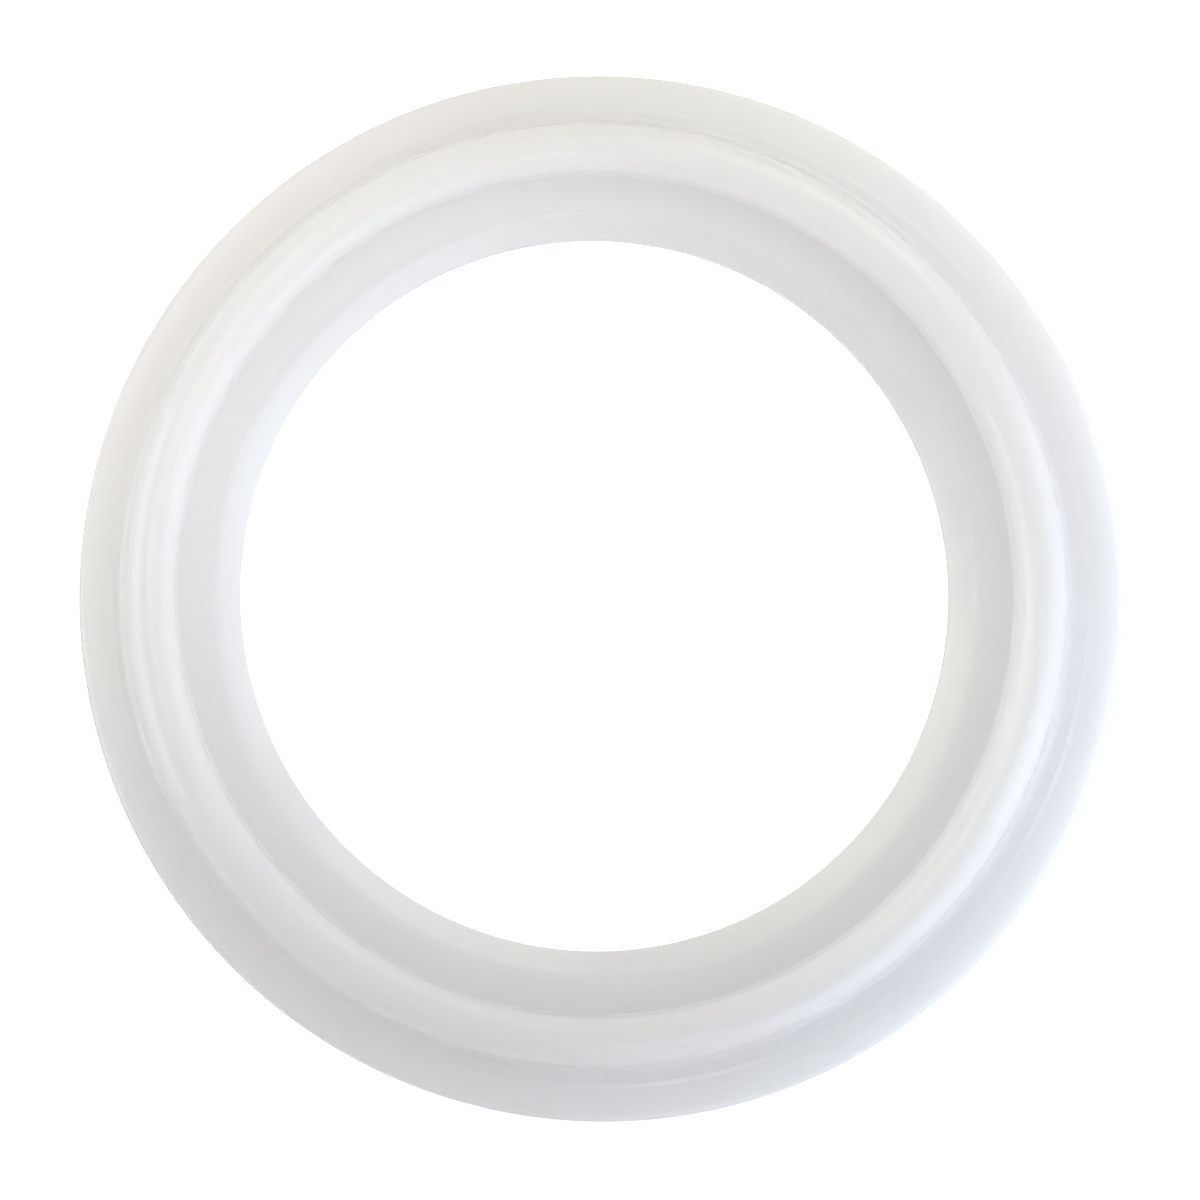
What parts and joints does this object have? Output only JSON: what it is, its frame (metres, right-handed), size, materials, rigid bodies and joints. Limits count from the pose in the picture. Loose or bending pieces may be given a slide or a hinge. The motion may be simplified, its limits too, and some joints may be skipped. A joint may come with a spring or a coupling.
{
  "type": "sanitary clamp gasket",
  "caption": "Moulded silicone ring with a round bead on each face that seals and centres two clamped ferrules.",
  "frame": {"origin": "on the bore axis, in the middle of the web's thickness", "axes": "+Z along the bore axis, out of the face that is up as it lies; +X and +Y across the ring, with the outer edge trimmed off centre mostly towards +X"},
  "size_m": [0.0505, 0.0505, 0.005],
  "materials": {
    "silicone": "satin"
  },
  "bodies": {
    "root": {"gasket": "silicone"}
  },
  "joints": []
}
